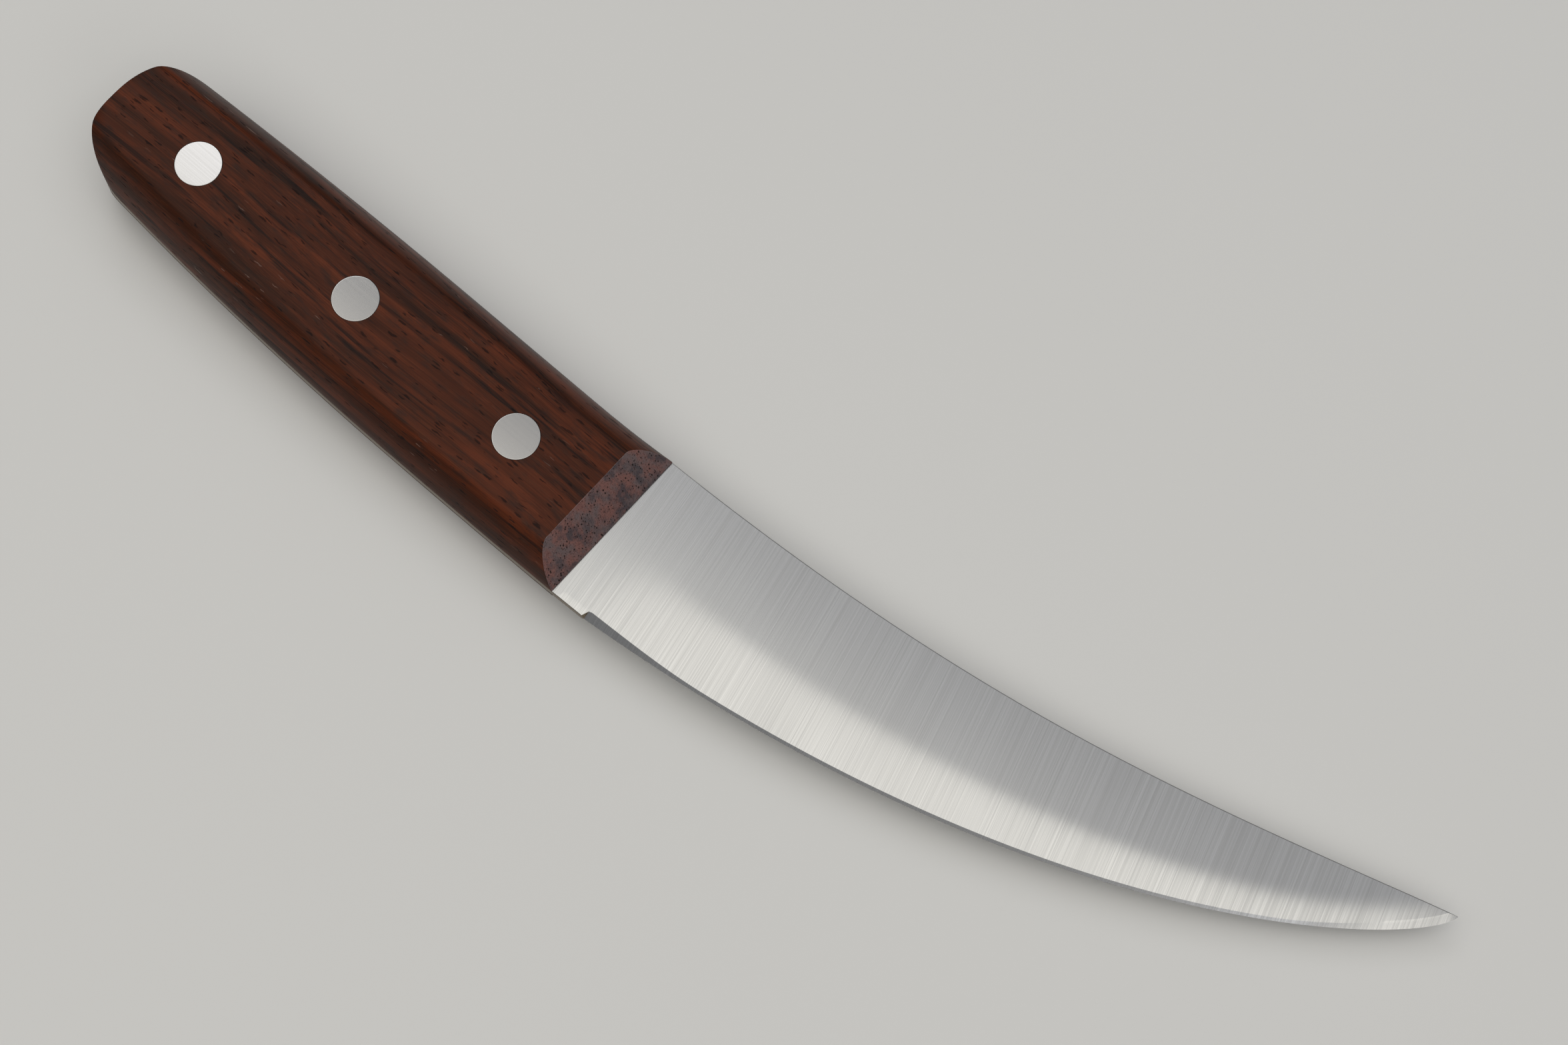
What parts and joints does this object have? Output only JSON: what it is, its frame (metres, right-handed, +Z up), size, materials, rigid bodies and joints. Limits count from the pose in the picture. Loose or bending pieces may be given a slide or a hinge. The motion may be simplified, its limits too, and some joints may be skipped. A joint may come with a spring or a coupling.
{
  "type": "boning knife",
  "caption": "Boning knife with a curved steel blade, full tang and riveted rosewood scales, for cutting meat from the bone.",
  "frame": {"origin": "on the table under the middle of the knife's box, the knife lying on its lower scale", "axes": "+X from the butt to the point, +Y from the cutting edge to the spine, +Z up, out of the upper cheek of the blade"},
  "size_m": [0.2562, 0.0562, 0.0205],
  "materials": {
    "blade_steel": "satin, brushed across the blade",
    "rosewood": "oiled, semi-gloss dark rosewood with black streaks",
    "rivet_steel": "ground flush, fine satin"
  },
  "bodies": {
    "root": {"blade_and_tang": "blade_steel", "upper_scale": "rosewood", "lower_scale": "rosewood", "front_rivet_barrel": "rivet_steel", "front_rivet_pin": "rivet_steel", "middle_rivet_barrel": "rivet_steel", "middle_rivet_pin": "rivet_steel", "butt_rivet_barrel": "rivet_steel", "butt_rivet_pin": "rivet_steel"}
  },
  "joints": []
}
